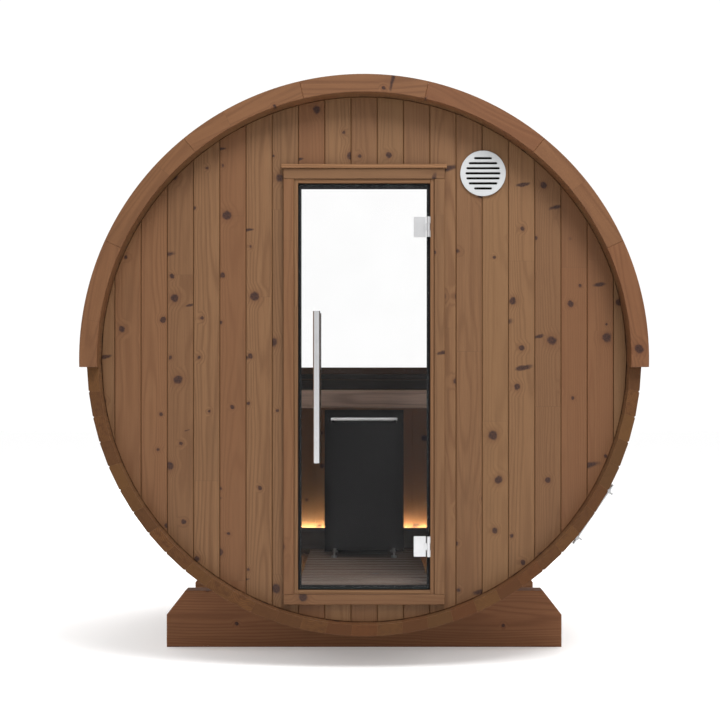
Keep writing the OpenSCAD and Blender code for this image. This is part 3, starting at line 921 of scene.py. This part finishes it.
class CABIN_OT_window(Maker, bpy.types.Operator):
    """Makes the rear window's sill and curved frame and dresses its pane"""

    bl_idname = "cabin.window"
    bl_label = "Rear window"

    def make(self, sizes, colours):
        finish = wood("jamb_wood", colours.jamb)
        lo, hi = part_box("window_sill")
        sill = Boards("window_sill_board", 700)
        low_x = math.sqrt(WALL_R ** 2 - (AXIS_Z - lo.z) ** 2) - 0.0005
        outline = points((-low_x, lo.z), (low_x, lo.z), (WALL_R - 0.0005, hi.z), (-WALL_R + 0.0005, hi.z))
        sill.add(outline, lo.y, hi.y, (X, Z, Y), X, Y, sizes.trim_bevel)
        sill.make(finish, ["window_sill"], "cabin", "frame")
        lo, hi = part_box("window_frame")
        ring = Boards("window_frame_ring", 701)
        outer, inner = WALL_R - 0.0004, WALL_R - 0.02
        base = lo.z - AXIS_Z
        limits = [-90, -54, -18, 18, 54, 90]
        for a0, a1 in zip(limits, limits[1:]):
            shape = []
            for radius, span in ((inner, (a0, a1)), (outer, (a1, a0))):
                for i in range(13):
                    t = math.radians(span[0] + (span[1] - span[0]) * i / 12)
                    z = max(AXIS_Z + radius * math.cos(t), AXIS_Z + base)
                    shape.append(Vector((radius * math.sin(t), z)))
            mid = math.radians((a0 + a1) / 2)
            along = Vector((math.cos(mid), 0, -math.sin(mid)))
            across = Vector((math.sin(mid), 0, math.cos(mid)))
            shape = [p for i, p in enumerate(shape) if (p - shape[i - 1]).length > 1e-5]
            ring.add(shape, lo.y, hi.y, (X, Z, Y), along, across, 0.0012)
        ring.make(finish, ["window_frame"], "cabin", "frame")
        dress("window_glass", glass("window_pane", (0.8, 0.86, 0.85), 0.02))


class CABIN_OT_interior(Maker, bpy.types.Operator):
    """Makes the duckboard, plinth, bench and backrest"""

    bl_idname = "cabin.interior"
    bl_label = "Benches and floor"

    def make(self, sizes, colours):
        bevel = sizes.trim_bevel
        pale = wood("bench_wood", colours.bench, knots=0.1, spread=0.25, ring=0.01, rough=0.45)
        # Painted shade: the plinth and backrest get a wood far darker than the bench, standing in for the shade they
        # stand in at the back of the cabin.
        dark = wood("dark_painted_shade_wood", colours.dark, knots=0.1, spread=0.2, ring=0.01, rough=0.42, contrast=1.2)
        lo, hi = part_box("duckboard")
        floor = Boards("duckboard_slats", 801)
        slats, slat, pitch, thick = 14, 0.07, 0.0822, 0.022
        for i in range(slats):
            y = lo.y + i * pitch
            floor.block((lo.x, y, hi.z - thick), (hi.x, y + slat, hi.z), X, 0.003)
        for side in (-1, 1):
            floor.block((side * 0.19 - 0.0225, lo.y, lo.z), (side * 0.19 + 0.0225, hi.y, hi.z - thick), Y, 0.002)
        floor.make(pale, ["duckboard"], "cabin", "interior")
        lo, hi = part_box("plinth")
        plinth = Boards("plinth_board", 802)
        reach = WALL_R - 0.0005
        low_x = math.sqrt(reach ** 2 - (AXIS_Z - lo.z) ** 2)
        top_x = math.sqrt(reach ** 2 - (AXIS_Z - hi.z) ** 2)
        low_x, top_x = min(low_x, hi.x), min(top_x, hi.x)
        plinth.add(
            points((-low_x, lo.z), (low_x, lo.z), (top_x, hi.z), (-top_x, hi.z)),
            lo.y, hi.y, (X, Z, Y), X, Z, bevel,
        )
        plinth.make(dark, ["plinth"], "cabin", "interior")
        lo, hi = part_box("bench_seat")
        seat = Boards("bench_seat_slats", 803)
        count, gap = 6, 0.012
        width = (hi.y - lo.y - (count - 1) * gap) / count
        for i in range(count):
            y = lo.y + i * (width + gap)
            seat.block((lo.x, y, lo.z), (hi.x, y + width, hi.z), X, 0.003)
        seat.make(pale, ["bench_seat"], "cabin", "interior")
        lo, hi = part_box("bench_front_board")
        board = Boards("bench_front_timber", 804)
        board.block(lo, hi, X, 0.003, 0.6)
        # Painted light: the front board's wood is the bench colour made 5.4 times lighter, standing in for the light
        # that falls on the board through the door.
        front = wood("bench_front_painted_light_wood", shade(tuple(colours.bench), 5.4), knots=0.05, spread=0.15, ring=0.008)
        board.make(front, ["bench_front_board"], "cabin", "interior")
        lo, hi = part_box("bench_bearers")
        bearers = Boards("bench_bearer_bars", 805)
        for x in (-0.9, -0.32, 0.32, 0.9):
            bearers.block((x - 0.0225, lo.y, lo.z), (x + 0.0225, hi.y, hi.z), Y, 0.002)
        bearers.make(pale, ["bench_bearers"], "cabin", "interior")
        lo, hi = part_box("backrest")
        back = Boards("backrest_boards", 806)
        back.block(lo, (hi.x, hi.y, lo.z + 0.047), X, 0.003)
        back.block((lo.x, lo.y, lo.z + 0.051), hi, X, 0.003)
        back.make(dark, ["backrest"], "cabin", "interior")


class CABIN_OT_fittings(Maker, bpy.types.Operator):
    """Dresses glass, handles, hinges, seal, hoops, vent and light strip"""

    bl_idname = "cabin.fittings"
    bl_label = "Glass and fittings"

    def make(self, sizes, colours):
        bright = tuple(colours.steel)
        dress("door_glass", glass("door_pane", (0.2, 0.2, 0.2), 0.026))
        dress("door_seal", coated("seal_rubber", (0.008, 0.008, 0.009), 0.6, 260.0, 0.00003, 0.3, 0.12))
        tube = steel("handle_steel", bright, 0.15, (240.0, 240.0, 3.0))
        for node in ("handle_outside", "handle_inside"):
            dress(node, tube)
        satin = steel("hinge_steel", shade(bright, 0.9), 0.32, (3.0, 3.0, 240.0))
        for node in ("door_hinge_leaves", "frame_hinge_leaves"):
            dress(node, satin)
        band = steel("hoop_steel", shade(bright, 0.62), 0.3, (240.0, 3.0, 240.0), 0.5)
        for node in ("hoops", "hoop_bolts"):
            dress(node, band)
        dress("vent_grille", coated("vent_plastic", tuple(colours.vent), 0.42, 420.0, 0.0002, 0.12))
        self.liner()
        dress("light_strip", glowing("light_strip_glow", tuple(colours.light), 300.0))

    def liner(self):
        """Adds the dark liner of the vent hole, closed behind the slots by a black disc that is painted shade for
        the shade inside the hole.
        """
        lo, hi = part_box("vent_grille")
        centre = Vector(((lo.x + hi.x) / 2, 0, (lo.z + hi.z) / 2))
        face, back, wide, thick, count = hi.y + 0.0004, WALL_HI.y - 0.003, 0.0712, 0.003, 48
        profile = (
            (wide, face), (wide, back), (wide - thick, back), (wide - thick, face + 0.0016),
        )
        mesh = bmesh.new()
        loops = []
        for radius, y in profile:
            loops.append([
                mesh.verts.new(centre + Vector((
                    radius * math.cos(2 * math.pi * i / count), y, radius * math.sin(2 * math.pi * i / count),
                )))
                for i in range(count)
            ])
        for a, b in zip(loops, loops[1:]):
            for i in range(count):
                j = (i + 1) % count
                mesh.faces.new((a[i], a[j], b[j], b[i]))
        # Painted shade: these two black discs close the liner behind the slots, standing in for the shade inside the
        # vent hole.
        mesh.faces.new(loops[0])
        mesh.faces.new(loops[-1])
        bmesh.ops.recalc_face_normals(mesh, faces=mesh.faces[:])
        data = bpy.data.meshes.new("vent_liner_and_shade_disc")
        mesh.to_mesh(data)
        mesh.free()
        data.materials.append(coated("liner_and_painted_shade_disc", (0.008, 0.007, 0.006), 0.7, 900.0, 0.0002, 0.3, 0.05))
        place("vent_liner_and_shade_disc", data, [], "cabin", "vent")


class CABIN_OT_heater(Maker, bpy.types.Operator):
    """Dresses the heater and its shield and fills it with stones"""

    bl_idname = "cabin.heater"
    bl_label = "Heater"

    def make(self, sizes, colours):
        black = coated("heater_enamel", (0.012, 0.012, 0.013), 0.5, 900.0, 0.00006, 0.3, 0.06)
        dress("heater_body", black)
        dress("heat_shield", coated("shield_enamel", (0.01, 0.01, 0.011), 0.55, 900.0, 0.00006, 0.3, 0.06))
        dress("heater_feet", steel("feet_steel", shade(tuple(colours.steel), 0.75), 0.36))
        lo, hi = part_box("heater_body")
        self.rail(lo, hi, steel("rail_steel", shade(tuple(colours.steel), 0.7), 0.3))
        rim_z = hi.z - 0.022
        source = random.Random(900)
        mesh = bmesh.new()
        rows = ((rim_z - 0.118, 5, 7), (rim_z - 0.075, 5, 7), (rim_z - 0.04, 5, 6))
        x0, x1 = lo.x + 0.036, hi.x - 0.036
        y0, y1 = lo.y + 0.042, hi.y - 0.036
        for z, down, over in rows:
            for i in range(over):
                for j in range(down):
                    radius = source.uniform(0.017, 0.023)
                    x = x0 + (x1 - x0) * (i + 0.5) / over + source.uniform(-0.004, 0.004)
                    y = y0 + (y1 - y0) * (j + 0.5) / down + source.uniform(-0.004, 0.004)
                    self.stone(mesh, Vector((x, y, z)), radius, source)
        data = bpy.data.meshes.new("heater_stones")
        mesh.to_mesh(data)
        mesh.free()
        data.materials.append(stone("heater_stone"))
        place("heater_stones", data, [], "cabin", "heater_black")

    def rail(self, lo, hi, finish):
        """Adds the bright tube round the guard rail, with turned-in ends."""
        centre_y, centre_z = lo.y + 0.007, hi.z - 0.007
        reach = hi.x - 0.001
        rings = ((0.0, 0.0062), (0.0012, 0.0074), (2 * reach - 0.0012, 0.0074), (2 * reach, 0.0062))
        mesh = bmesh.new()
        loops = []
        for x, radius in rings:
            loops.append([
                mesh.verts.new((
                    x - reach,
                    centre_y + radius * math.cos(2 * math.pi * i / 32),
                    centre_z + radius * math.sin(2 * math.pi * i / 32),
                ))
                for i in range(32)
            ])
        for a, b in zip(loops, loops[1:]):
            for i in range(32):
                j = (i + 1) % 32
                mesh.faces.new((a[i], b[i], b[j], a[j]))
        mesh.faces.new(loops[0])
        mesh.faces.new(list(reversed(loops[-1])))
        bmesh.ops.recalc_face_normals(mesh, faces=mesh.faces[:])
        data = bpy.data.meshes.new("heater_rail")
        mesh.to_mesh(data)
        mesh.free()
        data.materials.append(finish)
        place("heater_rail", data, [], "cabin", "feet_steel")

    def stone(self, mesh, centre, radius, source):
        """Adds one faceted, slightly flattened stone."""
        made = bmesh.ops.create_icosphere(mesh, subdivisions=2, radius=radius)
        cuts = [
            (Vector((source.uniform(-1, 1), source.uniform(-1, 1), source.uniform(-1, 1))).normalized(),
             radius * source.uniform(0.62, 0.9))
            for _ in range(7)
        ]
        squeeze = Vector((source.uniform(0.8, 1.1), source.uniform(0.8, 1.1), source.uniform(0.65, 0.95)))
        for vert in made["verts"]:
            p = vert.co.copy()
            for normal, limit in cuts:
                over = p.dot(normal) - limit
                if over > 0:
                    p -= normal * over
            vert.co = centre + Vector((p.x * squeeze.x, p.y * squeeze.y, p.z * squeeze.z))


class CABIN_OT_stage(Maker, bpy.types.Operator):
    """Makes the floor, the lights and the camera"""

    bl_idname = "cabin.stage"
    bl_label = "Stage"

    def make(self, sizes, colours):
        scene = bpy.context.scene
        scene.view_settings.view_transform = "Standard"
        mesh = bpy.data.meshes.new("floor")
        reach = 30.0
        mesh.from_pydata(
            [(-reach, -reach, -0.001), (reach, -reach, -0.001), (reach, reach, -0.001), (-reach, reach, -0.001)],
            [], [(0, 1, 2, 3)],
        )
        floor = bpy.data.objects.new("floor", mesh)
        scene.collection.objects.link(floor)
        paint = coated("floor_paint", (0.9, 0.9, 0.9), 0.85, 60.0, 0.0005, 0.05, 0.1)
        shader = paint.node_tree.nodes["Principled BSDF"]
        shader.inputs["Emission Color"].default_value = (1, 1, 1, 1)
        shader.inputs["Emission Strength"].default_value = 0.2
        mesh.materials.append(paint)
        world = bpy.data.worlds.new("studio")
        scene.world = world
        world.use_nodes = True
        tree = world.node_tree
        glow = tree.nodes["Background"]
        glow.inputs["Color"].default_value = (1.0, 1.0, 1.0, 1)
        place_node = tree.nodes.new("ShaderNodeTexCoord")
        split = tree.nodes.new("ShaderNodeSeparateXYZ")
        tree.links.new(place_node.outputs["Generated"], split.inputs[0])
        ahead = Value(tree, split.outputs[1]).span(-0.2, 0.8)
        feed(tree, glow.inputs["Strength"], ahead * 0.26 + 0.79)
        self.lamp("key", (1.3, -4.2, 5.8), (0, -0.5, 1.0), 2.4, 310.0)
        self.lamp("back", (1.0, 6.5, 5.5), (0, 0.5, 1.0), 4.0, 320.0)
        self.lamp("left", (-7.0, 0.5, 4.0), (0, 0, 1.0), 3.0, 140.0)
        self.lamp("right", (7.0, 0.5, 4.0), (0, 0, 1.0), 3.0, 140.0)
        lens = bpy.data.cameras.new("camera")
        camera = bpy.data.objects.new("camera", lens)
        scene.collection.objects.link(camera)
        camera.location = (0.0, ARCH_LO.y - 5.0, 1.033)
        camera.rotation_euler = (math.pi / 2, 0, 0)
        lens.lens = 67.9
        lens.sensor_width = 36.0
        lens.shift_x = -0.0057
        lens.shift_y = 0.0444
        lens.clip_end = 200.0
        scene.camera = camera

    def lamp(self, name, where, target, size, power):
        """Adds one square soft light aimed at a point."""
        data = bpy.data.lights.new(name, "AREA")
        data.size = size
        data.energy = power
        item = bpy.data.objects.new(name, data)
        bpy.context.scene.collection.objects.link(item)
        item.location = where
        item.rotation_euler = (Vector(target) - Vector(where)).to_track_quat("-Z", "Y").to_euler()


STEPS = (
    CABIN_OT_staves, CABIN_OT_roof, CABIN_OT_arches, CABIN_OT_walls, CABIN_OT_doorway,
    CABIN_OT_beams, CABIN_OT_window, CABIN_OT_interior, CABIN_OT_fittings,
    CABIN_OT_heater, CABIN_OT_stage,
)


class CABIN_PT_panel(bpy.types.Panel):
    """Lists the makers of the cabin"""

    bl_idname = "CABIN_PT_panel"
    bl_label = "Sauna cabin"
    bl_space_type = "VIEW_3D"
    bl_region_type = "UI"
    bl_category = "Cabin"

    def draw(self, context):
        for step in STEPS:
            self.layout.operator(step.bl_idname)
        for group in (context.scene.cabin_sizes, context.scene.cabin_colours):
            for item in group.bl_rna.properties:
                if item.identifier not in {"rna_type", "name"}:
                    self.layout.prop(group, item.identifier)


CLASSES = (CabinSizes, CabinColours, *STEPS, CABIN_PT_panel)


def register():
    for item in CLASSES:
        bpy.utils.register_class(item)
    bpy.types.Scene.cabin_sizes = bpy.props.PointerProperty(type=CabinSizes)
    bpy.types.Scene.cabin_colours = bpy.props.PointerProperty(type=CabinColours)


def unregister():
    del bpy.types.Scene.cabin_colours
    del bpy.types.Scene.cabin_sizes
    for item in reversed(CLASSES):
        bpy.utils.unregister_class(item)


def main():
    register()
    for step in STEPS:
        group, name = step.bl_idname.split(".")
        getattr(getattr(bpy.ops, group), name)()


if __name__ == "__main__":
    main()
